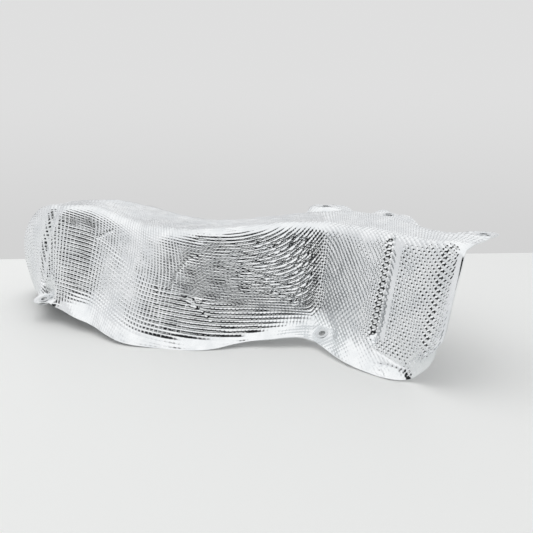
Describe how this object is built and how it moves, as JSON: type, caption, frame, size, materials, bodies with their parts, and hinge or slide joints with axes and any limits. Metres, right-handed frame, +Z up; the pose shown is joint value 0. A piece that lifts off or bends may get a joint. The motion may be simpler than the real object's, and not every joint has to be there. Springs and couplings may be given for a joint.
{
  "type": "exhaust manifold heat shield",
  "caption": "Deep formed exhaust manifold heat shield: dimpled aluminium sheets around an insulating mat, with a flared flange, a rounded end lobe and steel eyelets in its bolt lugs.",
  "frame": {"origin": "centre of the bounding box at bench level, with the shield lying as it rests on a bench", "axes": "+X along the front wall towards the bolt lug at the right end, +Y from the front flange to the open rear, +Z up"},
  "size_m": [0.4886, 0.3236, 0.1211],
  "materials": {
    "outer_sheet": "bright, dimple embossed",
    "inner_sheet": "mill, dimple embossed",
    "mat": "pressed mineral fibre",
    "eyelet_steel": "zinc plated"
  },
  "bodies": {
    "root": {"outer_skin": "outer_sheet", "insulation_core": "mat", "inner_skin": "inner_sheet", "eyelet_left_lug": "eyelet_steel", "eyelet_right_lug": "eyelet_steel", "eyelet_flange": "eyelet_steel", "eyelet_rear_left": "eyelet_steel", "eyelet_rear_right": "eyelet_steel", "washer_left_lug": "eyelet_steel", "washer_right_lug": "eyelet_steel", "washer_flange": "eyelet_steel", "washer_rear_left": "eyelet_steel", "washer_rear_right": "eyelet_steel"}
  },
  "joints": []
}
